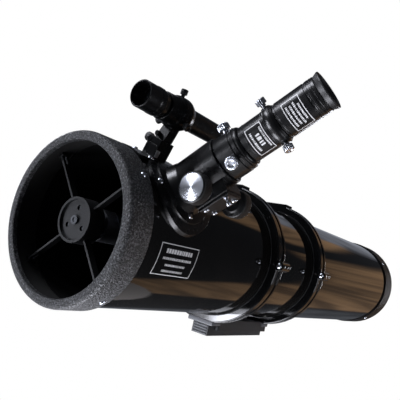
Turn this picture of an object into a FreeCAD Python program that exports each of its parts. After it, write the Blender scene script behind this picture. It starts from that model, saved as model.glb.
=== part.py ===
import FreeCAD, Part
import math
import os
from FreeCAD import Placement, Rotation, Vector

# Newtonian reflector optical tube with its focuser, finder, tube rings and mounting cradle.
#
# Every piece is drawn in the optical frame: the optical axis is X, x = 0 is the front
# edge of the tube assembly, X runs towards the main mirror and Z is up. save() then
# moves it so that the origin is the middle of the flat face under the mounting bar.
# All sizes are in millimetres.

# ---- driving dimensions ----
TUBE_R = 84.0                 # outside radius of the main tube
TUBE_WALL = 1.2
LENGTH = 851.6                # front ring to rear rim
FOCAL_LENGTH = 900.0
MIRROR_R = 65.0               # 130 mm aperture
FIT = 0.15                    # gap between a sleeve and the tube that it is fixed on

FOCUS_X = 86.0                # station of the focuser's axis
FOCUS_ANGLE = 141.8           # its direction about X, measured from +Y
BARREL_R = 24.8
BARREL_TOP = 143.3            # height of the barrel's mouth above the optical axis
DRAW_R = 19.0                 # drawtube
PINION_DROP = 28.0            # pinion axis to focuser axis
PINION_H = 119.5              # height of the pinion axis
MODULE = 1.0
PINION_TEETH = 12
KNOB_R = 15.0
SOCKET_R = 15.95              # socket for a 31.7 mm barrel
NOSE_R = 15.85

FINDER_ANGLE = 110.0          # direction of the finder's stalk about X
FINDER_H = 139.0              # finder axis above the optical axis
FINDER_R = 11.8
FINDER_PIVOT_X = 53.5
FINDER_SCREW_X = 74.0
STALK_HALF = 6.7              # half thickness of the finder's stalk
LOCK_X = 71.0                 # thumbscrew that holds the finder in its shoe
LOCK_Z = 104.0

RING_X = (283.4, 424.6)       # middle planes of the two tube rings
RING_W = 20.6
RING_IN = 86.2
RING_OUT = 95.9
PAD_HALF = 20.0               # half width of a ring's top pad and foot
PAD_TOP = 97.5
FOOT_Z = -98.5
HINGE_Y = -98.4
KNUCKLE_R = 6.3
CLAMP_Y = 105.0
SPLIT = 0.5                   # half of the gap between the two halves of a ring

BASE_Z = -114.0               # flat face under the mounting bar
CRADLE_Z = -106.0
BAR_HALF = 13.0

SPIDER_X = 24.5               # plane of the spider's screws
SPIDER_ANGLE = 51.5
HUB_R = 23.2
SECONDARY_R = 17.5
BACK_X = 836.0                # front face of the rear cell's wall
COLLIMATION_R = 52.0

X_AXIS = Vector(1, 0, 0)
ORIGIN = Vector(sum(RING_X) / 2, 0, BASE_Z)


# ---- helpers ----
def save(name, *solids):
    """Write one node, moved from the optical frame to the part's own frame."""
    shape = solids[0] if len(solids) == 1 else Part.makeCompound(list(solids))
    shape = shape.copy()
    shape.translate(ORIGIN * -1)
    shape.exportStep("parts/" + name + ".step")


def box(x, y, z):
    """Box from three (low, high) pairs."""
    size = [high - low for low, high in (x, y, z)]
    return Part.makeBox(*size, Vector(x[0], y[0], z[0]))


def rod_x(radius, x0, x1, y=0.0, z=0.0):
    return Part.makeCylinder(radius, x1 - x0, Vector(x0, y, z), X_AXIS)


def rod_y(radius, y0, y1, x, z):
    return Part.makeCylinder(radius, y1 - y0, Vector(x, y0, z), Vector(0, 1, 0))


def rod_z(radius, z0, z1, x=0.0, y=0.0):
    return Part.makeCylinder(radius, z1 - z0, Vector(x, y, z0))


def sleeve_x(outer, inner, x0, x1, y=0.0, z=0.0):
    return rod_x(outer, x0, x1, y, z).cut(rod_x(inner, x0 - 1, x1 + 1, y, z))


def outline(points, plane):
    """Closed face through points; a pair (middle, end) adds an arc instead of a line."""
    here = plane(points[0])
    edges = []
    for item in points[1:] + [points[0]]:
        if isinstance(item[0], tuple):
            there = plane(item[1])
            edges.append(Part.Arc(here, plane(item[0]), there).toShape())
        else:
            there = plane(item)
            edges.append(Part.LineSegment(here, there).toShape())
        here = there
    return Part.Face(Part.Wire(edges))


def turned_x(points, y=0.0, z=0.0):
    """Solid of revolution about X from (x, radius) points."""
    face = outline(points, lambda p: Vector(p[0], 0, p[1]))
    solid = face.revolve(Vector(0, 0, 0), X_AXIS, 360)
    solid.translate(Vector(0, y, z))
    return solid


def turned_z(points):
    """Solid of revolution about Z from (radius, z) points."""
    face = outline(points, lambda p: Vector(p[0], 0, p[1]))
    return face.revolve(Vector(0, 0, 0), Vector(0, 0, 1), 360)


def radial(x, angle):
    """Placement at station x whose local Z points outwards at angle from +Y."""
    return Placement(Vector(x, 0, 0), Rotation(X_AXIS, angle - 90))


def placed(shape, placement):
    shape = shape.copy()
    shape.Placement = placement.multiply(shape.Placement)
    return shape


def fused(shapes):
    return shapes[0].multiFuse(shapes[1:]).removeSplitter()


def pan_screw(seat, shank_r, length, head_r, head_h):
    """Pan head screw along local Z with its head sitting at height seat."""
    crown = (head_r * 0.75, seat + head_h * 0.88)
    head = turned_z([(0, seat), (head_r, seat), (crown, (0, seat + head_h))])
    slot = box((-head_r, head_r), (-0.4, 0.4), (seat + head_h * 0.55, seat + head_h + 1))
    return fused([rod_z(shank_r, seat - length, seat), head]).cut(slot)


def thumb_screw(tip, seat, shank_r, head_r, head_len):
    """Thumbscrew along local Z: shank from tip, neck at seat, chamfered round head."""
    neck = seat + head_len * 0.25
    top = seat + head_len
    edge = head_r * 0.14
    return turned_z([
        (0, tip), (shank_r, tip), (shank_r, seat), (head_r * 0.55, seat),
        (head_r * 0.55, neck), (head_r - edge, neck), (head_r, neck + edge),
        (head_r, top - edge), (head_r - edge, top), (head_r * 0.5, top),
        (head_r * 0.42, top - 0.8), (0, top - 0.8),
    ])


FOCUSER = radial(FOCUS_X, FOCUS_ANGLE)
FINDER = radial(0, FINDER_ANGLE)


# ---- mounting bar, cradle and tube rings ----
def mounting():
    front = RING_X[0] - 6.4
    rear = RING_X[1] + 5.4
    step = RING_X[0] + RING_W / 2 + 0.6
    bolt_x = (front + 28, rear - 28)

    bar = fused([
        box((front, rear), (-BAR_HALF, BAR_HALF), (BASE_Z, CRADLE_Z)),
        box((front, step), (-BAR_HALF, BAR_HALF), (CRADLE_Z, FOOT_Z)),
    ])
    cradle = box((step, rear), (-PAD_HALF, PAD_HALF), (CRADLE_Z, FOOT_Z))
    wall_x = (step, RING_X[1] - RING_W / 2 - 0.6)
    rails = [box(wall_x, pair, (FOOT_Z, -91.0))
             for pair in ((-PAD_HALF, -PAD_HALF + 5), (PAD_HALF - 5, PAD_HALF))]
    cradle = fused([cradle] + rails)

    bolts = []
    for x in RING_X:
        bolts.append(fused([rod_z(2.9, BASE_Z + 6, -90.5, x), rod_z(5, BASE_Z + 1, BASE_Z + 6, x)]))
        clear = fused([rod_z(3.0, BASE_Z, -90.4, x), rod_z(5.3, BASE_Z - 1, BASE_Z + 6, x)])
        bar = bar.cut(clear)
        cradle = cradle.cut(clear)
    for x in bolt_x:
        bolts.append(fused([rod_z(2.4, BASE_Z + 4.5, FOOT_Z - 1.5, x),
                            rod_z(4.2, BASE_Z + 1, BASE_Z + 4.5, x)]))
        clear = fused([rod_z(2.5, BASE_Z, FOOT_Z - 1.4, x), rod_z(4.5, BASE_Z - 1, BASE_Z + 4.5, x)])
        bar = bar.cut(clear)
        cradle = cradle.cut(clear)
    for side in (-30.0, 30.0):
        bar = bar.cut(rod_z(3.4, BASE_Z - 1, CRADLE_Z + 1, ORIGIN.x + side))
    save("mount_bar", bar)
    save("mount_cradle", cradle)
    save("mount_bolts", *bolts)


def half_space(upper, x):
    z = (SPLIT, 200) if upper else (-200, -SPLIT)
    return box((x - 30, x + 30), (-200, 200), z)


def tube_ring(x):
    """Both halves of one hinged tube ring, its pin, felts and clamp knob."""
    half = RING_W / 2
    x0 = x - half
    x1 = x + half
    lip = 1.6
    band = turned_x([
        (x0, RING_IN), (x0, RING_OUT - lip), (x0 + lip, RING_OUT), (x0 + 5, RING_OUT),
        (x0 + 6, RING_OUT - 1), (x1 - 6, RING_OUT - 1), (x1 - 5, RING_OUT),
        (x1 - lip, RING_OUT), (x1, RING_OUT - lip), (x1, RING_IN),
    ])
    inside = rod_x(RING_IN, x0 - 1, x1 + 1)
    knuckle_half = 4.1
    gap = 0.2
    middle = (x - knuckle_half + gap, x + knuckle_half - gap)
    ends = ((x0, x - knuckle_half), (x + knuckle_half, x1))
    swing_r = KNUCKLE_R + 0.3

    lug_y = (HINGE_Y, -RING_IN - 3)
    upper = [band.common(half_space(True, x)),
             box((x0, x1), (-PAD_HALF, PAD_HALF), (88, PAD_TOP)),
             box((x0 + 3, x1 - 3), (RING_IN + 3, CLAMP_Y + 9), (SPLIT + 0.5, 11))]
    upper = fused(upper).cut(inside)
    for low, high in ends:
        upper = upper.cut(rod_x(swing_r, low - 0.5, high + 0.5, HINGE_Y, 0))
    upper = fused([upper, rod_x(KNUCKLE_R, *middle, HINGE_Y, 0), box(middle, lug_y, (SPLIT, KNUCKLE_R))])

    lower = [band.common(half_space(False, x)),
             box((x0, x1), (-PAD_HALF, PAD_HALF), (FOOT_Z, -88)),
             box((x0 + 3, x1 - 3), (RING_IN + 3, CLAMP_Y + 9), (-11, -SPLIT - 0.5))]
    lower = fused(lower).cut(inside)
    lower = lower.cut(rod_x(swing_r, middle[0] - 0.3, middle[1] + 0.3, HINGE_Y, 0))
    knuckles = [rod_x(KNUCKLE_R, low, high, HINGE_Y, 0) for low, high in ends]
    lugs = [box(pair, lug_y, (-KNUCKLE_R, -SPLIT)) for pair in ends]
    lower = fused([lower] + knuckles + lugs)

    pin_hole = rod_x(2.55, x0 - 2, x1 + 2, HINGE_Y, 0)
    upper = upper.cut(pin_hole).cut(rod_z(2.5, PAD_TOP - 9, PAD_TOP + 1, x))
    upper = upper.cut(rod_z(3.1, 0, 12, x, CLAMP_Y))
    lower = lower.cut(rod_x(2.5, x0 - 2, x1 + 2, HINGE_Y, 0)).cut(rod_z(3.0, -110, -90.4, x))
    lower = lower.cut(rod_z(4.3, -12, 0, x, CLAMP_Y))

    pin = turned_x([
        (x0 - 2.2, 0), (x0 - 2.2, 0.6), ((x0 - 1.6, 2.6), (x0 - 0.1, 3.7)), (x0 - 0.1, 2.5),
        (x1 + 0.1, 2.5), (x1 + 0.1, 3.7), ((x1 + 1.6, 2.6), (x1 + 2.2, 0.6)), (x1 + 2.2, 0),
    ], HINGE_Y, 0)

    felt = sleeve_x(RING_IN - 0.05, TUBE_R + 0.3, x0 + 0.5, x1 - 0.5)
    knob = turned_z([
        (0, -9), (3.0, -9), (3.0, 11.3), (6.5, 11.3), (6.5, 13), (8.3, 13), (9, 13.8),
        (9, 22.2), (8.2, 23), (3, 23), (2.4, 22), (0, 22),
    ])
    knob.translate(Vector(x, CLAMP_Y, 0))
    return {
        "upper": upper, "lower": lower, "pin": pin, "knob": knob,
        "felt_upper": felt.common(half_space(True, x)),
        "felt_lower": felt.common(half_space(False, x)),
    }


def rings():
    made = [tube_ring(x) for x in RING_X]
    for name, ring in zip(("front", "rear"), made):
        save("ring_upper_" + name, ring["upper"])
        save("ring_lower_" + name, ring["lower"])
        save("ring_felt_" + name, ring["felt_upper"])
        save("clamp_knob_" + name, ring["knob"])
    save("ring_felt_lower", *[ring["felt_lower"] for ring in made])
    save("ring_hinge_pins", *[ring["pin"] for ring in made])


# ---- main tube, front ring, rear cell and spider ----
SPIDER_ANGLES = [SPIDER_ANGLE + 90 * k for k in range(4)]
REAR_SCREW_X = LENGTH - 34
FOCUSER_SCREWS = [(FOCUS_X - 37, FOCUS_ANGLE), (FOCUS_X + 37, FOCUS_ANGLE),
                  (FOCUS_X, FOCUS_ANGLE + 19.5), (FOCUS_X, FOCUS_ANGLE - 16)]
SHOE_SCREWS = [(x, FINDER_ANGLE + side) for x in (57.0, 92.0) for side in (-8.3, 8.3)]


def radial_hole(x, angle, radius, z0, z1):
    return placed(rod_z(radius, z0, z1), radial(x, angle))


def main_tube():
    inner = TUBE_R - TUBE_WALL
    shell = sleeve_x(TUBE_R, inner, 6, BACK_X - 0.3)
    shell = shell.cut(placed(rod_z(DRAW_R + 5, 60, 100), FOCUSER))
    holes = [(SPIDER_X, angle) for angle in SPIDER_ANGLES]
    holes += [(REAR_SCREW_X, angle) for angle in SPIDER_ANGLES]
    holes += FOCUSER_SCREWS + SHOE_SCREWS
    for x, angle in holes:
        shell = shell.cut(radial_hole(x, angle, 2.1, 78, 88))
    save("tube_shell", shell)

    lip_in = 77.7
    out = TUBE_R + 3.8
    edge = 4.3
    ring = turned_x([
        (0, lip_in + 0.8), (0, out - edge), ((edge * 0.29, out - edge * 0.29), (edge, out)),
        (31.5, out), (32.3, out - 0.8), (32.3, TUBE_R + FIT), (5.6, TUBE_R + FIT),
        (5.6, lip_in), (0.8, lip_in),
    ])
    seat = out - 0.6
    cell_out = TUBE_R + 2.2
    cell_seat = cell_out - 0.5
    screws = []
    for angle in SPIDER_ANGLES:
        ring = ring.cut(radial_hole(SPIDER_X, angle, 3.6, seat, seat + 5))
        ring = ring.cut(radial_hole(SPIDER_X, angle, 2.1, 78, seat + 1))
        screws.append(placed(pan_screw(seat, 2.0, 8.0, 3.4, 2.0), radial(SPIDER_X, angle)))
        screws.append(placed(pan_screw(cell_seat, 2.0, 4.0, 3.4, 2.0), radial(REAR_SCREW_X, angle)))
    save("front_ring", ring)
    save("cell_screws", *screws)

    start = LENGTH - 48.6
    cell = turned_x([
        (start, TUBE_R + FIT), (start, cell_out - 0.6), (start + 0.6, cell_out),
        (LENGTH - 3, cell_out), ((LENGTH - 0.9, cell_out - 0.9), (LENGTH, cell_out - 3)),
        (LENGTH, 81), (BACK_X + 5, 81), (BACK_X + 5, 24), (BACK_X, 24), (BACK_X, TUBE_R + FIT),
    ])
    for angle in SPIDER_ANGLES:
        cell = cell.cut(radial_hole(REAR_SCREW_X, angle, 3.6, cell_seat, cell_seat + 5))
        cell = cell.cut(radial_hole(REAR_SCREW_X, angle, 2.1, 78, cell_seat + 1))
    for k in range(3):
        y, z = polar(COLLIMATION_R, 90 + 120 * k)
        cell = cell.cut(rod_x(2.6, BACK_X - 1, BACK_X + 6, y, z))
        y, z = polar(COLLIMATION_R, 30 + 120 * k)
        cell = cell.cut(rod_x(17, BACK_X - 1, BACK_X + 6, y, z))
    save("rear_cell", cell)


def polar(radius, angle):
    turn = math.radians(angle)
    return radius * math.cos(turn), radius * math.sin(turn)


def spider():
    inner = TUBE_R - TUBE_WALL
    hub = rod_x(HUB_R, 14, 34)
    hub = hub.cut(rod_x(HUB_R - 2.6, 13, 17.2)).cut(rod_x(HUB_R - 2.6, 22.2, 35))
    pieces = [hub]
    for angle in SPIDER_ANGLES:
        vane = box((-4, 4), (-1.1, 1.1), (HUB_R - 1, inner - 1))
        foot = box((-5, 5), (-3.5, 3.5), (inner - 3.2, inner + 2))
        arm = placed(fused([vane, foot]), radial(SPIDER_X, angle))
        pieces.append(arm.common(rod_x(inner - 0.1, 0, 60)))
    casting = fused(pieces)
    for angle in SPIDER_ANGLES:
        casting = casting.cut(radial_hole(SPIDER_X, angle, 2.0, 70, 88))
    screws = [fused([rod_x(4.6, 14.4, 17.2), rod_x(3.0, 17.2, 58)])]
    screws[0] = screws[0].cut(rod_x(2.2, 13, 15.6))
    casting = casting.cut(rod_x(3.05, 10, 40))
    for k in range(3):
        y, z = polar(12.6, 92 + 120 * k)
        casting = casting.cut(rod_x(2.6, 10, 40, y, z))
        screws.append(rod_x(2.55, 19.2, 44.7, y, z))
    save("spider", casting)
    save("secondary_screws", *screws)


def secondary():
    """Diagonal mirror and its holder, drawn in the focuser's frame."""
    tilt = Placement(Vector(0, 0, 0), Rotation(Vector(0, 1, 0), 45))
    glass = 6.0
    slab = placed(box((-60, 60), (-60, 60), (-glass, 0)), tilt)
    behind = placed(box((-80, 80), (-60, 60), (-140, -glass - 0.05)), tilt)
    mirror = rod_x(SECONDARY_R, -60, 60).common(slab)
    holder = rod_x(SECONDARY_R - 0.5, 45 - FOCUS_X, 60).common(behind)
    holder = holder.cut(rod_x(3.05, -60, 58.5 - FOCUS_X))
    save("secondary_mirror", placed(mirror, FOCUSER))
    save("secondary_holder", placed(holder, FOCUSER))


def primary():
    front = FOCAL_LENGTH - 100.0
    back = front + 19
    sag = MIRROR_R ** 2 / (4 * FOCAL_LENGTH)
    mirror = turned_x([
        (front + sag, 0), ((front + sag * 0.75, MIRROR_R / 2), (front, MIRROR_R)),
        (back, MIRROR_R), (back, 0),
    ])
    plate_back = back + 7
    plate = sleeve_x(74, 20, back + 0.05, plate_back)
    clips = []
    springs = []
    for k in range(3):
        y, z = polar(COLLIMATION_R, 90 + 120 * k)
        plate = plate.cut(rod_x(3.2, back - 1, plate_back + 1, y, z))
        springs.append(sleeve_x(5, 3.6, plate_back + 0.6, BACK_X - 0.4, y, z))
        shank_start = back + 3
        knob_start = BACK_X + 5.4
        knob = turned_x([
            (shank_start, 0), (shank_start, 2.5), (knob_start, 2.5), (knob_start, 7.2),
            (knob_start + 0.8, 8), (knob_start + 7, 8), (knob_start + 7.8, 7.2), (knob_start + 7.8, 0),
        ], y, z)
        save("collimation_knob_%d" % (k + 1), knob)
        post = box((front - 2.8, back), (-6, 6), (MIRROR_R + 0.6, MIRROR_R + 4))
        lip = box((front - 2.8, front - 0.4), (-6, 6), (MIRROR_R - 5, MIRROR_R + 0.6))
        clip = fused([post, lip])
        clips.append(placed(clip, radial(0, 30 + 120 * k)))
    save("primary_mirror", mirror)
    save("mirror_cell", plate)
    save("mirror_clips", *clips)
    save("mirror_springs", *springs)


# ---- rack and pinion focuser, drawn in its own frame ----
def gear(teeth, addendum, dedendum, backlash, width):
    """Involute pinion about X, with a tooth gap pointing along +Y."""
    pitch_r = MODULE * teeth / 2
    base_r = pitch_r * math.cos(math.radians(20))
    tip_r = pitch_r + addendum
    root_r = pitch_r - dedendum

    def involute(radius):
        return math.sqrt(max((radius / base_r) ** 2 - 1, 0)) - math.acos(min(base_r / radius, 1))

    half_pitch = (math.pi * MODULE / 2 - backlash) / (2 * pitch_r)
    at_pitch = involute(pitch_r)
    steps = 5
    flank = [(root_r, half_pitch + at_pitch)]
    for k in range(steps + 1):
        radius = base_r + (tip_r - base_r) * k / steps
        flank.append((radius, half_pitch + at_pitch - involute(radius)))
    points = []
    for tooth in range(teeth):
        centre = 2 * math.pi * (tooth + 0.5) / teeth
        points += [(radius, centre - angle) for radius, angle in flank]
        points += [(radius, centre + angle) for radius, angle in reversed(flank)]
    corners = [Vector(0, r * math.cos(a), r * math.sin(a)) for r, a in points]
    face = Part.Face(Part.makePolygon(corners + [corners[0]]))
    solid = face.extrude(Vector(width, 0, 0))
    solid.translate(Vector(-width / 2, 0, 0))
    return solid


def rack(z0, z1, addendum, dedendum, backlash, width):
    """Straight rack along Z whose teeth point along -Y, with one tooth at PINION_H."""
    pitch = math.pi * MODULE
    line = -PINION_DROP + MODULE * PINION_TEETH / 2
    slope = math.tan(math.radians(20))
    half = (pitch / 2 - backlash) / 2
    count_down = int((PINION_H - z0) / pitch - 0.6)
    count_up = int((z1 - PINION_H) / pitch - 0.6)
    foot = -DRAW_R + 0.95
    points = [(foot, z0), (line + dedendum, z0)]
    for k in range(-count_down, count_up + 1):
        z = PINION_H + k * pitch
        low = half + dedendum * slope
        tip = half - addendum * slope
        points += [(line + dedendum, z - low), (line - addendum, z - tip),
                   (line - addendum, z + tip), (line + dedendum, z + low)]
    points += [(line + dedendum, z1), (foot, z1)]
    corners = [Vector(-width / 2, y, z) for y, z in points]
    return Part.Face(Part.makePolygon(corners + [corners[0]])).extrude(Vector(width, 0, 0))


COVER_BACK = -35.0
SCREW_H = 156.0
COLLAR_SCREWS = (220.0, 100.0)
BARLOW_H = 202.5
BARLOW_SCREWS = (125.0, 272.0)


def around_focuser(shape, height, turn):
    """Place a radial piece about the focuser axis; turn runs from +X towards local +Y."""
    out = Rotation(Vector(0, 0, 1), turn).multiply(Rotation(Vector(0, 1, 0), 90))
    return placed(placed(shape, Placement(Vector(0, 0, height), out)), FOCUSER)


def focuser_housing():
    flange_out = TUBE_R + 4.4
    tube = rod_x(TUBE_R + 0.1, -80, 80)
    trim = box((-50, 50), (-50, 29), (0, 100))
    flange = rod_z(46, 40, 100).common(rod_x(flange_out, -80, 80)).common(trim)
    step = rod_z(37, 40, 100).common(rod_x(flange_out + 2, -80, 80)).common(trim)
    cone = Part.makeCone(31, BARREL_R, 24, Vector(0, 0, 76)).common(trim)
    barrel = turned_z([
        (0, 60), (BARREL_R, 60), (BARREL_R, BARREL_TOP - 0.8), (BARREL_R - 0.8, BARREL_TOP),
        (0, BARREL_TOP),
    ])
    block = box((-13, 13), (COVER_BACK, 0), (PINION_H - 18.5, PINION_H + 18.5))
    block = block.makeFillet(2.0, [edge for edge in block.Edges if edge.Length > 25
                                   and edge.BoundBox.YMax < COVER_BACK + 1])
    body = fused([flange, step, cone, barrel, block]).cut(tube)
    body = body.cut(rod_z(DRAW_R + 0.07, 50, 150))
    body = body.cut(box((-4.6, 4.6), (-23.4, -15), (50, 150)))
    body = body.cut(rod_x(7.6, -4.8, 4.8, -PINION_DROP, PINION_H))
    body = body.cut(box((-4.8, 4.8), (COVER_BACK - 1, -PINION_DROP), (PINION_H - 7.6, PINION_H + 7.6)))
    body = body.cut(rod_x(3.06, -14, 14, -PINION_DROP, PINION_H))
    screw_spots = [(x, z) for x in (-7.5, 7.5) for z in (PINION_H - 12, PINION_H + 12)]
    for x, z in screw_spots:
        body = body.cut(rod_y(1.6, COVER_BACK - 1, COVER_BACK + 7, x, z))
    body = placed(body, FOCUSER)

    cover = box((-12, 12), (COVER_BACK - 3, COVER_BACK - 0.05), (PINION_H - 17.5, PINION_H + 17.5))
    cover = cover.makeFillet(1.0, [edge for edge in cover.Edges
                                   if edge.BoundBox.YMax < COVER_BACK - 2])
    screws = []
    for x, z in screw_spots:
        cover = cover.cut(rod_y(1.7, COVER_BACK - 5, COVER_BACK + 1, x, z))
        aim = Placement(Vector(x, 0, z), Rotation(X_AXIS, 90))
        tall = 7.4 if x < 0 and z > PINION_H else 0.0
        screw = pan_screw(3.0 - COVER_BACK + tall, 1.5, 9.0 + tall, 2.7, 1.7)
        if tall:
            screw = fused([screw, rod_z(2.9, 3.0 - COVER_BACK, 3.9 - COVER_BACK)])
        screw = placed(screw, aim)
        screws.append(placed(screw, FOCUSER))
    cover = placed(cover, FOCUSER)
    for index, (x, angle) in enumerate(FOCUSER_SCREWS):
        seat = flange_out - 0.6 if index < 2 else flange_out - 0.2
        body = body.cut(radial_hole(x, angle, 4.0, seat, seat + 12))
        body = body.cut(radial_hole(x, angle, 2.1, 78, seat + 1))
        screws.append(placed(pan_screw(seat, 2.0, 6.5, 3.7, 2.4), radial(x, angle)))
    save("focuser_housing", body)
    save("pinion_cover", cover)
    save("focuser_screws", *screws)


def drawtube():
    inner_end = 66.0
    tube = turned_z([
        (DRAW_R - 2, inner_end), (DRAW_R, inner_end), (DRAW_R, BARREL_TOP + 0.25),
        (DRAW_R - 2, BARREL_TOP + 0.25),
    ])
    tube = tube.cut(box((-4.1, 4.1), (-30, -DRAW_R + 1), (inner_end - 1, BARREL_TOP + 1)))
    save("focus_drawtube", placed(tube, FOCUSER))
    teeth = rack(inner_end + 1, BARREL_TOP - 0.9, 0.6, 1.2, 0.16, 8.0)
    save("focus_rack", placed(teeth, FOCUSER))

    low = BARREL_TOP + 0.3
    collar = turned_z([
        (SOCKET_R, low - 9), (DRAW_R - 2.05, low - 9), (DRAW_R - 2.05, low), (21.6, low),
        (22.4, low + 0.8), (22.4, 160.6), (21.4, 161.4), (21.4, 162.4), (22.0, 163.0),
        (22.0, 165.4), (21.0, 166.2), (21.0, 167.0), ((20.2, 169.2), (17.8, 170.0)),
        (SOCKET_R, 170.0),
    ])
    for turn in COLLAR_SCREWS:
        hole = Part.makeCylinder(2.06, 14, Vector(0, 0, 12))
        cut = placed(hole, Placement(Vector(0, 0, SCREW_H), Rotation(Vector(0, 0, 1), turn).multiply(
            Rotation(Vector(0, 1, 0), 90))))
        collar = collar.cut(cut)
    save("drawtube_collar", placed(collar, FOCUSER))
    for index, turn in enumerate(COLLAR_SCREWS):
        screw = thumb_screw(16.5, 22.9, 2.0, 6.4, 9.5)
        save("collar_screw_%d" % (index + 1), around_focuser(screw, SCREW_H, turn))


def pinion():
    centre = Placement(Vector(0, -PINION_DROP, PINION_H), Rotation())
    wheel = gear(PINION_TEETH, 0.9, 0.95, 0.16, 8.0).cut(rod_x(3.01, -9, 9))
    shaft = rod_x(3.0, -42.5, 42.5)
    bore = rod_x(3.01, -50, 50)
    inner_face = 27.5
    outer_face = 43.5
    near = turned_x([
        (-inner_face, 0), (-inner_face, 9), (-inner_face - 2, 11), (-inner_face - 3, KNOB_R - 0.8),
        (-inner_face - 4, KNOB_R), (-outer_face + 1.4, KNOB_R), (-outer_face, KNOB_R - 1.4),
        (-outer_face, 13.4), (-outer_face + 0.8, 13.4), (-outer_face + 0.8, 0),
    ])
    cap = turned_x([
        (-outer_face + 0.75, 0), (-outer_face + 0.75, 13.3), (-outer_face + 0.1, 13.3),
        (-outer_face - 0.3, 12.9), ((-outer_face - 0.2, 7.5), (-outer_face + 0.1, 1.0)),
        (-outer_face + 0.1, 0),
    ])
    flip = Placement(Vector(0, 0, 0), Rotation(Vector(0, 0, 1), 180))
    near = near.cut(bore)
    far = placed(near, flip)
    where = FOCUSER.multiply(centre)
    save("focus_pinion", placed(wheel, where))
    save("focus_shaft", placed(shaft, where))
    save("focus_knob_near", placed(near, where))
    save("focus_knob_far", placed(far, where))
    save("focus_knob_caps", placed(cap, where), placed(placed(cap, flip), where))


def barlow_and_eyepiece():
    shoulder = 170.25
    body = turned_z([
        (13.6, 144.5), (NOSE_R - 0.4, 144.5), (NOSE_R, 145), (NOSE_R, shoulder), (18.1, shoulder),
        (18.5, shoulder + 0.5), (18.5, 198.2), (19.9, 199.2), ((20.6, 202.5), (19.9, 205.8)),
        (18.6, 207.4), (18.0, 208.2), (SOCKET_R, 208.2), (SOCKET_R, 183), (13.6, 183),
    ])
    for turn in BARLOW_SCREWS:
        aim = Rotation(Vector(0, 0, 1), turn).multiply(Rotation(Vector(0, 1, 0), 90))
        body = body.cut(placed(rod_z(1.86, 14, 24), Placement(Vector(0, 0, BARLOW_H), aim)))
    save("barlow_body", placed(body, FOCUSER))
    for index, turn in enumerate(BARLOW_SCREWS):
        screw = thumb_screw(16.5, 20.9, 1.8, 4.9, 8.0)
        save("barlow_screw_%d" % (index + 1), around_focuser(screw, BARLOW_H, turn))
    lens = turned_z([
        (0, 148.5), (0.5, 148.5), ((6.8, 147.9), (13.5, 146)), (13.5, 153),
        ((6.8, 151.1), (0.5, 150.5)), (0, 150.5),
    ])
    save("barlow_lens", placed(lens, FOCUSER))

    low = 208.5
    top = 251.0
    barrel = turned_z([
        (13.0, 184), (NOSE_R - 0.4, 184), (NOSE_R, 184.5), (NOSE_R, low), (17.0, low),
        (17.4, low + 0.4), (17.4, low + 2.0), (17.9, low + 2.6), (17.9, 240.4), (17.4, 240.9),
        (17.4, 241.9), (17.7, 242.2), (17.7, top - 0.4), (17.3, top), (13.0, top),
    ])
    save("eyepiece_body", placed(barrel, FOCUSER))
    lenses = []
    for centre, thickness in ((188.5, 5.0), (246.5, 5.0)):
        half = thickness / 2
        lenses.append(placed(turned_z([
            (0, centre - half), (0.5, centre - half),
            ((6.5, centre - half + 0.35), (12.95, centre - half + 1.4)), (12.95, centre + half - 1.4),
            ((6.5, centre + half - 0.35), (0.5, centre + half)), (0, centre + half),
        ]), FOCUSER))
    save("eyepiece_lenses", *lenses)
    cup = turned_z([
        (12.2, top + 0.05), (17.0, top + 0.05), (17.3, top + 0.8), ((18.1, top + 2.9), (18.9, top + 4.9)),
        (18.8, top + 6.0), (17.6, top + 6.3), ((14.9, top + 3.4), (12.2, top + 2.0)),
    ])
    save("eyecup", placed(cup, FOCUSER))


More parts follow.
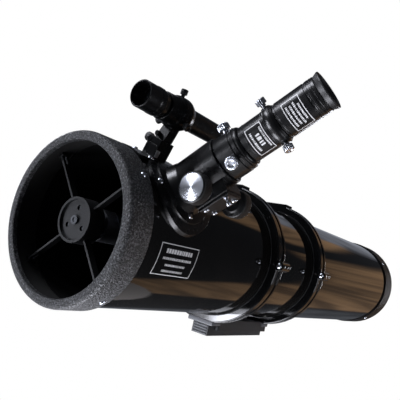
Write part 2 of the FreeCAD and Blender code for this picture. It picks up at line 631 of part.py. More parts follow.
# ---- finder, drawn in a frame turned about X so that Z runs along its stalk ----
def finder_bracket():
    tube = rod_x(TUBE_R + 0.1, 0, 200)
    base = box((39, 104), (-15, 15), (70, 100)).common(rod_x(TUBE_R + 4.2, 0, 200))
    body = box((64, 84), (-9.2, 9.2), (78, 107.5))
    shoe = fused([base, body]).cut(tube)

    def dovetail(x, top, gap):
        points = [(-4.4 - gap, top), (-6.2 - gap, 100.7 - gap), (6.2 + gap, 100.7 - gap), (4.4 + gap, top)]
        corners = [Vector(x[0], y, z) for y, z in points]
        face = Part.Face(Part.makePolygon(corners + [corners[0]]))
        return face.extrude(Vector(x[1] - x[0], 0, 0))

    shoe = shoe.cut(dovetail((40, 100), 108, 0.2)).cut(rod_y(2.1, 3, 12, LOCK_X, LOCK_Z))
    shoe = placed(shoe, FINDER)
    screws = []
    seat = TUBE_R + 3.7
    for x, angle in SHOE_SCREWS:
        shoe = shoe.cut(radial_hole(x, angle, 3.0, seat, seat + 4))
        shoe = shoe.cut(radial_hole(x, angle, 2.1, 78, seat + 1))
        screws.append(placed(pan_screw(seat, 2.0, 6.5, 2.9, 2.0), radial(x, angle)))
    save("finder_shoe", shoe)
    save("finder_shoe_screws", *screws)

    bore = 12.9
    ring = turned_x([
        (50, bore), (50, 14.2), (50.5, 14.7), (57, 14.9), (65, 15.5), (67, 17.0), (69, 17.6),
        (79.5, 17.6), (81.5, 17.2), (85, 15.8), (88.5, 14.2), (89.5, 13.5), (89.5, bore),
    ], 0, FINDER_H)
    side = [(68.6, 107.8), (71.5, 122), (71.5, 128), (83.6, 128), (82.2, 107.8)]
    corners = [Vector(x, -STALK_HALF, z) for x, z in side]
    stalk = Part.Face(Part.makePolygon(corners + [corners[0]])).extrude(Vector(0, 2 * STALK_HALF, 0))
    bracket = fused([ring, stalk, dovetail((64.5, 83.5), 107.9, 0)])
    bracket = bracket.cut(rod_x(bore, 40, 100, 0, FINDER_H))
    for k in range(3):
        hole = placed(rod_z(1.86, 10, 20), finder_turn(k))
        bracket = bracket.cut(hole)
    save("finder_bracket", placed(bracket, FINDER))

    lock = thumb_screw(6.6, 9.8, 2.0, 5.0, 9.0)
    aim = Placement(Vector(LOCK_X, 0, LOCK_Z), Rotation(X_AXIS, -90))
    save("finder_lock_knob", placed(placed(lock, aim), FINDER))


def finder_turn(k):
    """Placement of finder screw k: local Z runs out of the bracket's ring."""
    return Placement(Vector(FINDER_SCREW_X, 0, FINDER_H), Rotation(X_AXIS, 120 * k - 10))


def finder_scope():
    tube = sleeve_x(FINDER_R, FINDER_R - 1.2, 39, 150, 0, FINDER_H)
    save("finder_tube", placed(tube, FINDER))
    cell = turned_x([
        (17, 12.6), (17, 13.3), (17.8, 13.9), (34, 14.1), (35, 14.5), (41, 14.5), (42.2, 13.9),
        (47, 13.4), (47.8, 12.9), (47.8, FINDER_R + 0.05), (34.2, FINDER_R + 0.05), (34.2, 12.3), (17.3, 12.3),
    ], 0, FINDER_H)
    save("finder_cell", placed(cell, FINDER))
    lens = turned_x([
        (34.5, 0), ((34.8, 6), (35.8, FINDER_R)), (38.4, FINDER_R), (38.4, 0),
    ], 0, FINDER_H)
    save("finder_lens", placed(lens, FINDER))
    o_ring = Part.makeTorus(12.35, 0.48, Vector(FINDER_PIVOT_X, 0, FINDER_H), X_AXIS)
    save("finder_o_ring", placed(o_ring, FINDER))
    eyepiece = turned_x([
        (138, 8.5), (138, FINDER_R - 1.3), (150.3, FINDER_R - 1.3), (150.3, 12.0), (151.3, 12.8),
        (164, 12.8), (165, 12.2), (169, 11.6), (171, 9.8), (171, 7), (168, 4.5), (167, 4.5), (167, 8.5),
    ], 0, FINDER_H)
    save("finder_eyepiece", placed(eyepiece, FINDER))
    for k in range(3):
        screw = thumb_screw(FINDER_R + 0.3, 18.2, 1.8, 3.9, 7.5)
        save("finder_screw_%d" % (k + 1), placed(placed(screw, finder_turn(k)), FINDER))


os.makedirs("parts", exist_ok=True)
mounting()
rings()
main_tube()
spider()
secondary()
primary()
focuser_housing()
drawtube()
pinion()
barlow_and_eyepiece()
finder_bracket()
finder_scope()
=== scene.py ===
import bmesh
import bpy
import math
import random
from mathutils import Matrix, Vector


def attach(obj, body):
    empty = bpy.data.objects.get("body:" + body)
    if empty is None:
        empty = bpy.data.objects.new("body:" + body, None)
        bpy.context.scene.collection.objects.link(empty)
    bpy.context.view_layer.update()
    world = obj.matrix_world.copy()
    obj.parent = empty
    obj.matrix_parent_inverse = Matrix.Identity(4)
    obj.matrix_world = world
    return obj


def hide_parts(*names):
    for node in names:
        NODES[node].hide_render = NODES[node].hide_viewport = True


# Looks for a Newtonian reflector tube assembly. Pieces are drawn in millimetres in the CAD's
# optical frame (X along the axis from the front edge, Z up) and stored in metres in the row frame.

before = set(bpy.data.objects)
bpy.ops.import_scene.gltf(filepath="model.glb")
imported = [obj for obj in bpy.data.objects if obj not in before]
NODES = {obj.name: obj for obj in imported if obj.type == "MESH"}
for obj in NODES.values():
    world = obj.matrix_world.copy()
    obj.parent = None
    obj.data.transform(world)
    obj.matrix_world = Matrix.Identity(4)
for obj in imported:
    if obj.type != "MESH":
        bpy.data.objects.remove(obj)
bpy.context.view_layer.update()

MM = 0.001
ORIGIN = Vector((354.0, 0.0, -114.0))
TUBE_R = 84.0
COLLAR_SCREW_H = 156.0        # heights along the focuser's axis
BARLOW_SCREW_H = 202.5
SCREW_TIP = 16.5
PINION_H = 119.5
PINION_Y = -28.0
CLAMP_Y = 105.0
COLLIMATION_R = 52.0
LABEL_TURN = 218.0            # side of the barrels that the labels are on, in degrees
LABEL_STEP = 1.6
BAND_SINK = 0.6


# ---- frames ----
def optical():
    """Optical frame in millimetres to the row frame in metres."""
    return Matrix.Scale(MM, 4) @ Matrix.Translation(-ORIGIN)


def radial(x, angle):
    """Frame at station x whose local Z points outwards at angle from +Y."""
    return optical() @ Matrix.Translation((x, 0, 0)) @ Matrix.Rotation(math.radians(angle - 90), 4, "X")


FOCUSER = radial(86.0, 141.8)
FINDER = radial(0.0, 110.0)
Z_TO_X = Matrix.Rotation(math.radians(90), 4, "Y")


# ---- procedural materials ----
class Look:
    """One material: a Principled shader whose colour, roughness and bump come from noise."""

    def __init__(self, name):
        self.mat = bpy.data.materials.new(name)
        self.mat.use_nodes = True
        self.tree = self.mat.node_tree
        self.shader = self.tree.nodes["Principled BSDF"]
        coords = self.tree.nodes.new("ShaderNodeTexCoord")
        self.place = coords.outputs["Object"]
        self.height = None
        self.edge = None

    def put(self, **values):
        for key, value in values.items():
            socket = self.shader.inputs[key.replace("_", " ")]
            socket.default_value = value
        return self

    def node(self, kind, **settings):
        made = self.tree.nodes.new(kind)
        for key, value in settings.items():
            setattr(made, key, value)
        return made

    def link(self, a, b):
        self.tree.links.new(a, b)

    def noise(self, scale, detail=3.0, rough=0.5, stretch=None):
        made = self.node("ShaderNodeTexNoise")
        made.inputs["Scale"].default_value = scale
        made.inputs["Detail"].default_value = detail
        made.inputs["Roughness"].default_value = rough
        source = self.place
        if stretch:
            mapping = self.node("ShaderNodeMapping")
            mapping.inputs["Scale"].default_value = stretch
            self.link(self.place, mapping.inputs["Vector"])
            source = mapping.outputs["Vector"]
        self.link(source, made.inputs["Vector"])
        return made.outputs["Fac"]

    def cells(self, scale):
        made = self.node("ShaderNodeTexVoronoi", feature="F1")
        made.inputs["Scale"].default_value = scale
        self.link(self.place, made.inputs["Vector"])
        return made.outputs["Distance"]

    def ramp(self, value, stops):
        made = self.node("ShaderNodeValToRGB")
        ramp = made.color_ramp
        while len(ramp.elements) < len(stops):
            ramp.elements.new(0.5)
        for element, (where, colour) in zip(ramp.elements, stops):
            element.position = where
            element.color = (*colour, 1.0)
        self.link(value, made.inputs["Fac"])
        return made.outputs["Color"]

    def span(self, value, low, high, start=0.3, end=0.7):
        made = self.node("ShaderNodeMapRange")
        made.inputs["From Min"].default_value = start
        made.inputs["From Max"].default_value = end
        made.inputs["To Min"].default_value = low
        made.inputs["To Max"].default_value = high
        self.link(value, made.inputs["Value"])
        return made.outputs["Result"]

    def math(self, how, a, b):
        made = self.node("ShaderNodeMath", operation=how)
        for socket, value in zip(made.inputs, (a, b)):
            if isinstance(value, (int, float)):
                socket.default_value = value
            else:
                self.link(value, socket)
        return made.outputs["Value"]

    def colour(self, value, stops):
        self.link(self.ramp(value, stops), self.shader.inputs["Base Color"])
        return self

    def rough(self, value, low, high, start=0.3, end=0.7):
        self.link(self.span(value, low, high, start, end), self.shader.inputs["Roughness"])
        return self

    def bump(self, value, depth, strength=1.0):
        made = self.node("ShaderNodeBump")
        made.inputs["Distance"].default_value = depth * MM
        made.inputs["Strength"].default_value = strength
        self.link(value, made.inputs["Height"])
        if self.height is None and self.edge:
            self.height = self.node("ShaderNodeBevel", samples=4)
            self.height.inputs["Radius"].default_value = self.edge * MM
            self.height = self.height.outputs["Normal"]
        if self.height is not None:
            self.link(self.height, made.inputs["Normal"])
        self.height = made.outputs["Normal"]
        self.link(self.height, self.shader.inputs["Normal"])
        return self


def grey(value, tint=(1.0, 1.0, 1.0)):
    return tuple(value * t for t in tint)


COOL = (0.94, 0.98, 1.06)
WARM = (1.08, 1.0, 0.92)


def make_tube_black():
    look = Look("tube_black")
    look.put(Specular_IOR_Level=0.5)
    broad = look.noise(9.0, 2.0)
    axis = look.node("ShaderNodeSeparateXYZ")
    look.link(look.place, axis.inputs["Vector"])
    z = look.math("ADD", axis.outputs["Z"], ORIGIN.z * MM)
    square = look.math("ADD", look.math("MULTIPLY", axis.outputs["Y"], axis.outputs["Y"]),
                       look.math("MULTIPLY", z, z))
    outside = look.math("GREATER_THAN", square, ((TUBE_R - 0.7) * MM) ** 2)
    polish = look.span(broad, 0.035, 0.07)
    matte = look.math("MULTIPLY", look.math("SUBTRACT", 1.0, outside), 0.7)
    look.link(look.math("ADD", polish, matte), look.shader.inputs["Roughness"])
    look.colour(broad, [(0.35, grey(0.0035, WARM)), (0.65, grey(0.006, WARM))])
    look.bump(look.noise(160.0, 2.0), 0.012)
    return look.mat


def make_wrinkle():
    look = Look("wrinkle_black")
    look.put(Specular_IOR_Level=0.55)
    look.edge = 0.9
    grain = look.noise(520.0, 3.0, 0.6)
    cells = look.cells(760.0)
    # The light flecks in the colour at the grain's high points are partly the coat's own mottling and partly
    # painted glints, standing in for light catching the wrinkle tops.
    look.colour(grain, [(0.40, grey(0.004, COOL)), (0.52, grey(0.016, COOL)), (0.66, grey(0.11, COOL))])
    look.rough(grain, 0.6, 0.3, 0.4, 0.65)
    look.bump(grain, 1.5)
    look.bump(cells, 0.6)
    return look.mat


def make_satin(name, level, low, high, grain=1500.0, depth=0.02, tint=COOL, specular=0.5, edge=0.45):
    look = Look(name)
    look.edge = edge
    look.put(Specular_IOR_Level=specular)
    broad = look.noise(45.0, 3.0)
    look.colour(broad, [(0.3, grey(level * 0.8, tint)), (0.7, grey(level * 1.25, tint))])
    look.rough(broad, low, high)
    look.bump(look.noise(grain, 2.0), depth)
    return look.mat


def make_metal(name, level, low, high, tint=COOL, scale=60.0, depth=0.01, stretch=None):
    look = Look(name)
    look.put(Metallic=1.0)
    broad = look.noise(scale, 3.0)
    look.colour(broad, [(0.3, grey(level * 0.9, tint)), (0.7, grey(level, tint))])
    look.rough(broad, low, high)
    look.bump(look.noise(900.0, 2.0, 0.5, stretch), depth)
    return look.mat


def make_print():
    look = Look("print_white")
    broad = look.noise(220.0, 2.0)
    look.colour(broad, [(0.3, grey(0.62)), (0.7, grey(0.74))])
    look.rough(broad, 0.4, 0.5)
    return look.mat


def make_glass():
    look = Look("lens_glass")
    look.put(Transmission_Weight=1.0, IOR=1.52)
    broad = look.noise(30.0, 2.0)
    look.colour(broad, [(0.3, (0.72, 0.86, 0.93)), (0.7, (0.80, 0.90, 0.98))])
    look.rough(broad, 0.0, 0.02)
    return look.mat


LOOKS = {
    "print_white": make_print(),
    "inside_black": make_satin("inside_black", 0.0016, 0.85, 0.95, 600.0, 0.05, COOL, 0.12),
    "tube_black": make_tube_black(),
    "wrinkle_black": make_wrinkle(),
    "satin_black": make_satin("satin_black", 0.0045, 0.25, 0.31, 900.0, 0.004, COOL, 0.5),
    "ring_black": make_satin("ring_black", 0.003, 0.08, 0.14, 300.0, 0.01, COOL, 0.5, 0.8),
    "cast_dark": make_satin("cast_dark", 0.030, 0.38, 0.55, 700.0, 0.16, COOL, 0.45, 0.6),
    # A lighter copy of cast_dark for the front-facing ribs and ring feet: painted light standing for the
    # light on the front faces.
    "cast_grey": make_satin("cast_grey", 0.10, 0.40, 0.60, 700.0, 0.3, COOL, 0.5, 0.6),
    "bracket_black": make_satin("bracket_black", 0.006, 0.22, 0.30, 900.0, 0.03, COOL, 0.25, 0.7),
    "cell_black": make_satin("cell_black", 0.004, 0.45, 0.55, 900.0, 0.02, COOL, 0.12, 0.8),
    "hub_black": make_satin("hub_black", 0.010, 0.45, 0.6, 620.0, 0.25, COOL, 0.35, 0.6),
    "screw_dark": make_metal("screw_dark", 0.10, 0.35, 0.5),
    "felt": make_satin("felt", 0.012, 0.92, 1.0, 1400.0, 0.5),
    "chrome": make_metal("chrome", 0.80, 0.20, 0.28, COOL, 60.0, 0.002),
    "spun_aluminium": make_metal("spun_aluminium", 0.74, 0.24, 0.30, COOL, 60.0, 0.002),
    "knob_black": make_satin("knob_black", 0.006, 0.32, 0.42, 900.0, 0.03),
    "rubber": make_satin("rubber", 0.006, 0.40, 0.50, 800.0, 0.015),
    "lens_glass": make_glass(),
    "mirror": make_metal("mirror", 0.93, 0.0, 0.02, COOL, 20.0, 0.0),
    "steel": make_metal("steel", 0.62, 0.24, 0.34),
    "plate_alu": make_metal("plate_alu", 0.55, 0.35, 0.45),
}

for holder in NODES.values():
    for slot in holder.material_slots:
        slot.material = LOOKS[slot.material.name.split(".")[0]]

# These nodes look duller or darker than the rest of their slot.
for node, look in (("finder_bracket", "bracket_black"), ("finder_shoe", "bracket_black"),
                   ("rear_cell", "cell_black"), ("spider", "hub_black"), ("secondary_screws", "screw_dark")):
    NODES[node].material_slots[0].material = LOOKS[look]


# ---- mesh helpers ----
def make(name, verts, faces, look, matrix, sharp=38.0, body=None, stands_for=(), slot=None):
    """Piece from vertices in a local millimetre frame, stored in the row frame."""
    mesh = bpy.data.meshes.new(name)
    mesh.from_pydata([matrix @ Vector(v) for v in verts], [], faces)
    work = bmesh.new()
    work.from_mesh(mesh)
    bmesh.ops.remove_doubles(work, verts=work.verts, dist=1e-7)
    bmesh.ops.recalc_face_normals(work, faces=work.faces)
    work.to_mesh(mesh)
    work.free()
    mesh.materials.append(LOOKS[look] if isinstance(look, str) else look)
    mesh.polygons.foreach_set("use_smooth", [True] * len(mesh.polygons))
    mesh.set_sharp_from_angle(angle=math.radians(sharp))
    piece = bpy.data.objects.new(name, mesh)
    bpy.context.scene.collection.objects.link(piece)
    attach(piece, body)
    if stands_for:
        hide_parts(*stands_for)
    return piece


def rounded(points, size, steps=4):
    """Outline whose corners are replaced by arcs; a third number on a point sets its own arc."""
    out = []
    count = len(points)
    for k, point in enumerate(points):
        here = Vector(point[:2])
        want = point[2] if len(point) > 2 else size
        before = Vector(points[k - 1][:2]) - here
        after = Vector(points[(k + 1) % count][:2]) - here
        cut = min(want, before.length * 0.48, after.length * 0.48)
        if cut < 1e-4:
            out.append(tuple(here))
            continue
        start = here + before.normalized() * cut
        end = here + after.normalized() * cut
        for step in range(steps + 1):
            t = step / steps
            spot = start * (1 - t) ** 2 + here * 2 * t * (1 - t) + end * t ** 2
            out.append(tuple(spot))
    return out


def turned(points, steps=96, ripple=None, start=0.0, sweep=360.0):
    """Vertices and faces of a closed (radius, height) outline turned about local Z."""
    full = sweep >= 360.0
    rows = steps if full else steps + 1
    verts = []
    for k in range(rows):
        angle = math.radians(start + sweep * k / steps)
        for radius, height in points:
            radius = max(radius, 0.0)
            if ripple:
                radius = ripple(angle, radius, height)
            verts.append((radius * math.cos(angle), radius * math.sin(angle), height))
    count = len(points)
    faces = []
    for k in range(steps):
        here, there = k * count, ((k + 1) % rows) * count
        for j in range(count):
            nxt = (j + 1) % count
            if points[j][0] <= 1e-6 and points[nxt][0] <= 1e-6:
                continue
            faces.append((here + j, there + j, there + nxt, here + nxt))
    if not full:
        faces.append(tuple(range(count))[::-1])
        faces.append(tuple(range(steps * count, (steps + 1) * count)))
    return verts, faces


def join(*parts):
    """Several (verts, faces, matrix) parts as one set of vertices and faces."""
    verts, faces = [], []
    for part_verts, part_faces, matrix in parts:
        first = len(verts)
        verts += [matrix @ Vector(v) for v in part_verts]
        faces += [tuple(first + index for index in face) for face in part_faces]
    return verts, faces


def block(size, bevel=0.6, steps=3):
    """Box of three (low, high) pairs with rounded edges."""
    work = bmesh.new()
    bmesh.ops.create_cube(work, size=1.0)
    for vert in work.verts:
        vert.co = Vector([low + (high - low) * (c + 0.5) for (low, high), c in zip(size, vert.co)])
    if bevel:
        bmesh.ops.bevel(work, geom=list(work.edges), offset=bevel, segments=steps, profile=0.5,
                        affect="EDGES", clamp_overlap=True)
    work.verts.index_update()
    verts = [tuple(v.co) for v in work.verts]
    faces = [tuple(v.index for v in f.verts) for f in work.faces]
    work.free()
    return verts, faces


def knurl(count, depth, inner, low, high):
    """Ripple that cuts straight flutes into the rim of a head between two heights."""
    def ripple(angle, radius, height):
        if radius < inner or not low <= height <= high:
            return radius
        wave = abs(((angle * count / math.tau) % 1.0) * 2 - 1)
        return radius - depth * (1 - min(1.0, wave * 1.6))
    return ripple


IDENTITY = Matrix.Identity(4)
MOVE = Matrix.Translation


def thumb(name, body, look, matrix, tip, seat, shank, head, length, flutes=28):
    """Knurled thumbscrew along local Z in place of its CAD node."""
    neck = seat + length * 0.25
    top = seat + length
    outline = rounded([
        (0, tip, 0), (shank * 0.7, tip, 0.2), (shank, tip + 0.6, 0.2), (shank, seat, 0),
        (head * 0.55, seat, 0.3),
        (head * 0.55, neck, 0.2), (head * 0.84, neck, 0.3), (head, neck + head * 0.12, 0.3),
        (head, top - head * 0.13, 0.3), (head * 0.86, top, 0.4), (head * 0.52, top, 0.3),
        (head * 0.42, top - 0.8, 0.2), (0, top - 0.8, 0),
    ], 0.2, 2)
    ripple = knurl(flutes, head * 0.075, head * 0.93, neck + 0.3, top - 0.3)
    verts, faces = turned(outline, flutes * 8, ripple)
    return make(name + "_knurled", verts, faces, look, matrix, 30, body, (name,))


# ---- pieces ----
def around(height, turn):
    """Frame of a radial piece about the focuser's axis; turn runs from +X towards local +Y."""
    return FOCUSER @ MOVE((0, 0, height)) @ Matrix.Rotation(math.radians(turn), 4, "Z") @ Z_TO_X


def thumbscrews():
    for index, turn in enumerate((220, 100)):
        thumb("collar_screw_%d" % (index + 1), "collar_lock_%d" % (index + 1), "chrome",
              around(COLLAR_SCREW_H, turn), SCREW_TIP, 22.9, 2.0, 6.4, 9.5, 18)
    for index, turn in enumerate((125, 272)):
        thumb("barlow_screw_%d" % (index + 1), "barlow_lock_%d" % (index + 1), "chrome",
              around(BARLOW_SCREW_H, turn), SCREW_TIP, 20.9, 1.8, 4.9, 8.0, 12)
    for k in range(3):
        aim = FINDER @ MOVE((74, 0, 139)) @ Matrix.Rotation(math.radians(120 * k - 10), 4, "X")
        thumb("finder_screw_%d" % (k + 1), "finder_aim_%d" % (k + 1), "knob_black",
              aim, 12.1, 18.2, 1.8, 3.9, 7.5, 12)
    aim = FINDER @ MOVE((71, 0, 104)) @ Matrix.Rotation(math.radians(-90), 4, "X")
    thumb("finder_lock_knob", "finder_lock", "knob_black", aim, 6.6, 9.8, 2.0, 5.0, 9.0, 14)


def focus_knobs():
    axis = FOCUSER @ MOVE((0, PINION_Y, PINION_H))
    inner, outer, radius = 27.5, 43.5, 15.0
    outline = rounded([
        (3.01, inner), (9, inner, 0.8), (11, inner + 2, 1), (radius - 0.8, inner + 3, 0.8),
        (radius, inner + 4, 0.5), (radius, outer - 1.4, 0.5), (radius - 1.4, outer, 0.5), (13.4, outer, 0.2),
        (13.4, outer - 0.8, 0), (3.01, outer - 0.8, 0),
    ], 0.3, 3)
    ripple = knurl(72, 0.35, radius - 0.3, inner + 3.4, outer - 1.2)
    verts, faces = turned(outline, 432, ripple)
    cap_outline = [(0.0, outer - 0.75), (13.3, outer - 0.75), (13.3, outer - 0.2), (12.9, outer + 0.25)]
    grooves = 60
    for k in range(2 * grooves + 1):
        here = 12.5 * (1 - k / (2 * grooves))
        cap_outline.append((here, outer + 0.22 + (0.026 if k % 2 else 0.0)))
    for side, turn in (("near", -90), ("far", 90)):
        matrix = axis @ Matrix.Rotation(math.radians(turn), 4, "Y")
        make("focus_knob_grip_" + side, verts, faces, "knob_black", matrix, 30, "pinion",
             ("focus_knob_" + side,))
    caps = [(*turned(cap_outline, 128), axis @ Matrix.Rotation(math.radians(turn), 4, "Y"))
            for turn in (-90, 90)]
    make("focus_knob_spun_caps", *join(*caps), "spun_aluminium", IDENTITY, 10, "pinion",
         ("focus_knob_caps",))


def liner():
    """Dull black flocking inside the tube."""
    outline = [(82.0, 34.0), (82.78, 34.0), (82.78, 798.0), (82.0, 798.0)]
    verts, faces = turned(outline, 128)
    make("tube_liner", verts, faces, "inside_black", optical() @ Z_TO_X, 30, "tube", (), "tube_black")


def on_tube(radius, x, angle):
    turn = math.radians(angle)
    return (x, radius * math.cos(turn), radius * math.sin(turn))


def wrapped(name, body, look, matrix, radius, patches, to_point, slot="tube_black"):
    """Thin printed patches lying on a cylinder; each is (u0, v0, u1, v1) in millimetres."""
    verts, faces = [], []
    for u0, v0, u1, v1 in patches:
        long_u = abs(u1 - u0) > abs(v1 - v0)
        count = max(2, int(max(abs(u1 - u0), abs(v1 - v0)) / LABEL_STEP) + 1)
        first = len(verts)
        for k in range(count):
            t = k / (count - 1)
            for lift in (0.0, 0.06):
                for side in (0, 1):
                    u = u0 + (u1 - u0) * (t if long_u else side)
                    v = v0 + (v1 - v0) * (side if long_u else t)
                    verts.append(to_point(radius + lift, u, v))
        for k in range(count - 1):
            a, b = first + 4 * k, first + 4 * (k + 1)
            faces += [(a + 2, a + 3, b + 3, b + 2), (a, b, b + 1, a + 1), (a, a + 2, b + 2, b),
                      (a + 1, b + 1, b + 3, a + 3)]
        last = first + 4 * (count - 1)
        faces += [(first, first + 1, first + 3, first + 2), (last, last + 2, last + 3, last + 1)]
    return make(name, verts, faces, look, matrix, 30, body, (), slot)


def frame_and_bars(width, height, line, rows, seed):
    """A rectangular outline with rows of bars that stand for lettering."""
    draw = random.Random(seed)
    w, h = width / 2, height / 2
    patches = [(-w, -h, w, -h + line), (-w, h - line, w, h), (-w, -h + line, -w + line, h - line),
               (w - line, -h + line, w, h - line)]
    for middle, thick, span, gap in rows:
        u = -span / 2
        while u < span / 2 - gap:
            step = min(draw.uniform(0.3, 0.85) * thick, span / 2 - u)
            patches.append((u, middle - thick / 2, u + step, middle + thick / 2))
            u += step + gap
    return patches


def labels():
    middle_x, middle_angle = 85.0, -167.5
    rows = [(-9.2, 4.4, 42, 0.9), (-1.6, 2.4, 46, 0.7), (5.2, 2.2, 32, 0.7), (11.6, 2.2, 34, 0.7)]

    def tube_point(radius, u, v):
        return on_tube(radius, middle_x + u, middle_angle + math.degrees(v / TUBE_R))
    wrapped("tube_label", "tube", "print_white", optical(), TUBE_R + 0.02,
            frame_and_bars(62, 33, 0.9, rows, 5), tube_point)

    def barrel_point(middle_h, middle_turn, base):
        def point(radius, u, v):
            turn = math.radians(middle_turn) + u / base
            return (radius * math.cos(turn), radius * math.sin(turn), middle_h + v)
        return point
    rows = [(-4.6, 2.0, 20, 0.6), (1.0, 4.2, 12, 1.2), (5.8, 1.6, 22, 0.5)]
    wrapped("barlow_label", "barlow", "print_white", FOCUSER, 18.52,
            frame_and_bars(31, 17, 0.7, rows, 8), barrel_point(186.0, LABEL_TURN, 18.5), "satin_black")
    rows = [(-5.4, 1.7, 22, 0.5), (-1.8, 1.7, 20, 0.5), (1.8, 1.7, 23, 0.5), (5.4, 1.7, 16, 0.5)]
    wrapped("eyepiece_label", "eyepiece", "print_white", FOCUSER, 17.92,
            frame_and_bars(32, 17.5, 0.7, rows, 3), barrel_point(226.0, LABEL_TURN, 17.9), "satin_black")


RING_X = (283.4, 424.6)
RING_HALF = 10.3
RING_OUT = 95.9
RING_NAMES = ("front", "rear")


def ring_lips():
    """Rounded beads along the edges and the channel of each ring half."""
    def bead(x, radius, size, start, sweep):
        outline = [(radius + size * math.cos(math.tau * k / 10), x + size * math.sin(math.tau * k / 10))
                   for k in range(10)]
        return (*turned(outline, 90, None, start, sweep), Z_TO_X)

    for x, name in zip(RING_X, RING_NAMES):
        for half, start, sweep, body in (("upper", 90.6, 174.4, "ring_top_" + name),
                                         ("lower", -89.0, 178.4, "mount")):
            beads = [bead(x + side * (RING_HALF - 2.05), RING_OUT - 2.05, 2.1, start, sweep)
                     for side in (-1, 1)]
            beads += [bead(x + side * (RING_HALF - 5.2), RING_OUT - 0.55, 0.7, start, sweep)
                      for side in (-1, 1)]
            make("ring_lips_%s_%s" % (half, name), *join(*beads), "ring_black", optical(), 40, body)


def clamp_knobs():
    for x, name in zip(RING_X, RING_NAMES):
        thumb("clamp_knob_" + name, "clamp_" + name, "chrome", optical() @ MOVE((x, CLAMP_Y, 0)),
              -9.0, 11.3, 3.0, 9.0, 11.7, 30)


def collimation_knobs():
    for k in range(3):
        angle = math.radians(90 + 120 * k)
        spot = (0, COLLIMATION_R * math.cos(angle), COLLIMATION_R * math.sin(angle))
        matrix = optical() @ MOVE(spot) @ Z_TO_X
        thumb("collimation_knob_%d" % (k + 1), "collimation_%d" % (k + 1), "steel", matrix,
              822.0, 841.4, 2.5, 8.0, 7.8, 24)


def bracket_details():
    """Painted tab on the finder shoe and the clamp boss in front of the stalk."""
    make("finder_shoe_tab", *block(((64.2, 69.6), (-9.9, -9.0), (88.8, 96.6)), 0.35), "print_white",
         FINDER, 40, "tube", (), "satin_black")
    boss = rounded([
        (0, -7.0), (2.9, -7.0, 0.8), (2.9, -3.0, 0.3), (2.2, -2.4, 0.2), (2.2, 2.0), (0, 2.0),
    ], 0.1, 3)
    verts, faces = turned(boss, 36)
    make("finder_stalk_boss", verts, faces, "bracket_black", FINDER @ MOVE((70.5, 2.4, 112.0)) @ Z_TO_X,
         40, "finder_bracket", (), "satin_black")


def grip_bands():
    """Raised rings around the eyepiece and the Barlow barrel."""
    def bands(name, body, look, matrix, rows, steps=96):
        parts = []
        for base, low, high, lift in rows:
            outline = rounded([(base - BAND_SINK, low), (base + lift, low), (base + lift, high),
                               (base - BAND_SINK, high)],
                              min(lift, (high - low) / 2) * 0.8, 3)
            parts.append((*turned(outline, steps), IDENTITY))
        make(name, *join(*parts), look, matrix, 40, body)

    rows = [(17.7, 243.4, 246.0, 0.2), (17.7, 247.4, 248.2, 0.2)]
    bands("eyepiece_bands", "eyepiece", "satin_black", FOCUSER, rows)
    rows = [(18.5, 175.0, 175.8, 0.25), (18.5, 196.4, 197.0, 0.2)]
    bands("barlow_bands", "barlow", "satin_black", FOCUSER, rows)


def mount_ribs_painted_lit():
    """Ribs on the front faces of the cradle and the bar, and blocks on the ring feet, in a lighter copy of
    the cast finish: painted light for the light falling on these front faces.
    """
    parts = []
    for k in range(5):
        low = -17.0 + 7.0 * k
        parts.append((*block(((293.2, 295.5), (low, low + 3.2), (-105.0, -99.6)), 0.7), IDENTITY))
    for k in range(4):
        low = -113.0 + 3.6 * k
        parts.append((*block(((276.0, 278.5), (-11.6, 11.6), (low, low + 1.9)), 0.6), IDENTITY))
    for x in RING_X:
        foot = ((x - RING_HALF - 0.5, x + RING_HALF + 0.5), (-20.5, 20.5), (-98.4, -92.4))
        parts.append((*block(foot, 0.9), IDENTITY))
    make("mount_ribs_painted_lit", *join(*parts), "cast_grey", optical(), 40, "mount", (), "cast_dark")


thumbscrews()
focus_knobs()
liner()
labels()
ring_lips()
clamp_knobs()
collimation_knobs()
bracket_details()
grip_bands()
mount_ribs_painted_lit()

# ---- camera ----
camera = bpy.data.cameras.new("camera")
camera.sensor_width = 36.0
camera.lens = 45.81
camera.shift_x = 0.0501
camera.shift_y = 0.0203
camera.clip_start = 0.01
camera.clip_end = 100.0
viewer = bpy.data.objects.new("camera", camera)
bpy.context.scene.collection.objects.link(viewer)
right = Vector((0.59209682, -0.77511957, 0.22047904))
up = Vector((-0.18875393, 0.1325894, 0.97303238))
back = Vector((-0.78344962, -0.61774566, -0.0678011))
turn = Matrix((right, up, back)).transposed().to_4x4()
viewer.matrix_world = Matrix.Translation((-0.67200, -0.38866, 0.11400)) @ turn
bpy.context.scene.camera = viewer


# ---- stage ----
def plain_mesh(name, points, faces, material):
    mesh = bpy.data.meshes.new(name)
    mesh.from_pydata(points, [], faces)
    mesh.materials.append(material)
    made = bpy.data.objects.new(name, mesh)
    bpy.context.scene.collection.objects.link(made)
    return made


FLOOR_Z = -1.0
FLOOR_R = 1.0
pale = Look("floor_pale")
pale.put(Roughness=0.9, Specular_IOR_Level=0.1)
pale.colour(pale.noise(0.8, 2.0), [(0.3, grey(0.66, WARM)), (0.7, grey(0.70, WARM))])
rim = [(FLOOR_R * math.cos(math.tau * k / 128), FLOOR_R * math.sin(math.tau * k / 128), FLOOR_Z)
       for k in range(128)]
plain_mesh("floor", rim, [list(range(128))], pale.mat)

# The world is a white backdrop. What it lights the object with is dimmer and changes with direction:
# a warm wall beyond the mirror end, cool grey next to it and dark elsewhere.
world = bpy.data.worlds.new("studio")
bpy.context.scene.world = world
world.use_nodes = True
tree = world.node_tree


def world_node(kind, **settings):
    made = tree.nodes.new(kind)
    for key, value in settings.items():
        setattr(made, key, value)
    return made


def world_math(how, a, b):
    made = world_node("ShaderNodeMath", operation=how)
    for socket, value in zip(made.inputs, (a, b)):
        if isinstance(value, (int, float)):
            socket.default_value = value
        else:
            tree.links.new(value, socket)
    return made.outputs["Value"]


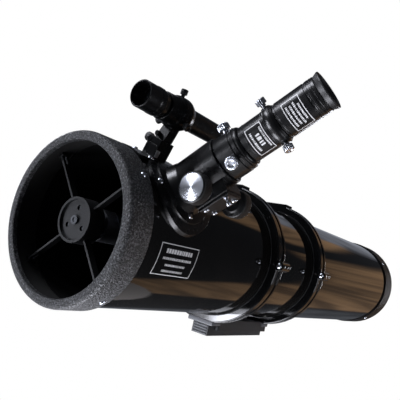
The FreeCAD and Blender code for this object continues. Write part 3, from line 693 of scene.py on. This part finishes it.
def world_band(value, low, high, soft):
    """1 where value lies between low and high, 0 outside, with soft edges."""
    parts = []
    for start, end in ((low - soft, low + soft), (high + soft, high - soft)):
        made = world_node("ShaderNodeMapRange", interpolation_type="SMOOTHSTEP")
        made.inputs["From Min"].default_value = start
        made.inputs["From Max"].default_value = end
        tree.links.new(value, made.inputs["Value"])
        parts.append(made.outputs["Result"])
    return world_math("MULTIPLY", *parts)


aim = world_node("ShaderNodeTexCoord")
axis = world_node("ShaderNodeSeparateXYZ")
tree.links.new(aim.outputs["Generated"], axis.inputs["Vector"])
azimuth = world_math("ARCTAN2", axis.outputs["Y"], axis.outputs["X"])
height = world_math("ARCSINE", axis.outputs["Z"], 0.0)
TURN = math.radians(1)
MIX_UNDER, MIX_OVER, MIX_COLOUR = 6, 7, 2    # the Mix node's colour sockets


def world_card(azimuths, heights, soft, colour, under):
    """Mix a soft-edged card of one colour over what is under it."""
    inside = world_math("MULTIPLY", world_band(azimuth, azimuths[0] * TURN, azimuths[1] * TURN, soft * TURN),
                        world_band(height, heights[0] * TURN, heights[1] * TURN, soft * TURN))
    patchy = world_node("ShaderNodeMapRange")
    for key, value in (("From Min", 0.35), ("From Max", 0.6), ("To Min", 0.35), ("To Max", 1.0)):
        patchy.inputs[key].default_value = value
    tree.links.new(clouds.outputs["Fac"], patchy.inputs["Value"])
    inside = world_math("MULTIPLY", inside, patchy.outputs["Result"])
    mixed = world_node("ShaderNodeMix", data_type="RGBA")
    tree.links.new(inside, mixed.inputs["Factor"])
    if isinstance(under, tuple):
        mixed.inputs[MIX_UNDER].default_value = (*under, 1.0)
    else:
        tree.links.new(under, mixed.inputs[MIX_UNDER])
    mixed.inputs[MIX_OVER].default_value = (*colour, 1.0)
    return mixed.outputs[MIX_COLOUR]


streaks = world_node("ShaderNodeMapping")
streaks.inputs["Scale"].default_value = (1.0, 1.0, 5.0)
tree.links.new(aim.outputs["Generated"], streaks.inputs["Vector"])
clouds = world_node("ShaderNodeTexNoise")
clouds.inputs["Scale"].default_value = 4.0
tree.links.new(streaks.outputs["Vector"], clouds.inputs["Vector"])
TAN = (0.54, 0.335, 0.19)
seen = (0.030, 0.032, 0.037)
seen = world_card((2, 50), (-24, 2), 3, (0.13, 0.14, 0.16), seen)
seen = world_card((2, 50), (2, 30), 3, (0.34, 0.36, 0.42), seen)
seen = world_card((-21, 0), (-60, 14), 1.5, TAN, seen)
seen = world_card((-16, 3), (20, 32), 1.5, TAN, seen)
fill = world_node("ShaderNodeBackground")
tree.links.new(seen, fill.inputs["Color"])
backdrop = tree.nodes["Background"]
backdrop.inputs["Color"].default_value = (1.0, 1.0, 1.0, 1.0)
backdrop.inputs["Strength"].default_value = 1.0
path = world_node("ShaderNodeLightPath")
mix = world_node("ShaderNodeMixShader")
tree.links.new(path.outputs["Is Camera Ray"], mix.inputs["Fac"])
tree.links.new(fill.outputs["Background"], mix.inputs[1])
tree.links.new(backdrop.outputs["Background"], mix.inputs[2])
tree.links.new(mix.outputs["Shader"], tree.nodes["World Output"].inputs["Surface"])
bpy.context.scene.view_settings.view_transform = "Standard"


def lamp(name, place, aim, size, power, colour=(1.0, 1.0, 1.0)):
    data = bpy.data.lights.new(name, "AREA")
    data.shape = "RECTANGLE"
    data.size, data.size_y = size
    data.energy = power
    data.color = colour
    holder = bpy.data.objects.new(name, data)
    bpy.context.scene.collection.objects.link(holder)
    holder.location = place
    holder.rotation_mode = "QUATERNION"
    holder.rotation_quaternion = (Vector(aim) - Vector(place)).to_track_quat("-Z", "Y")
    holder.visible_camera = False
    return holder


# Each lamp is placed where one group of glossy faces mirrors it towards the camera.
SKY = (0.89, 0.91, 1.0)
lamp("front", (-1.8, 1.35, 2.0), (0, 0, 0.1), (1.2, 0.8), 52.0, SKY)
lamp("low", (-2.1, 1.1, -1.15), (0, 0, 0.05), (1.3, 0.8), 48.0, SKY)
lamp("barrels", (-2.35, 1.15, -0.32), (-0.2, -0.1, 0.15), (0.45, 0.45), 20.0, SKY)
lamp("side", (0.2, -2.4, -0.45), (0, 0, 0.1), (1.4, 0.9), 18.0, SKY)
lamp("top", (-0.8, 0.5, 2.3), (-0.2, 0, 0.1), (1.2, 1.0), 10.0, SKY)
lamp("lips", (-0.20, 0.10, -0.92), (0.05, 0, 0), (0.9, 0.7), 22.0, SKY)
lamp("back", (3.2, 0.0, 0.1), (0.3, 0, 0.0), (0.7, 0.7), 20.0, SKY)
lamp("far", (0.3, 2.4, 0.7), (0, 0, 0.1), (1.2, 0.9), 35.0, SKY)
lamp("screws", (-1.03, -0.23, -0.90), (0, 0, 0.1), (0.5, 0.5), 0.8, SKY)
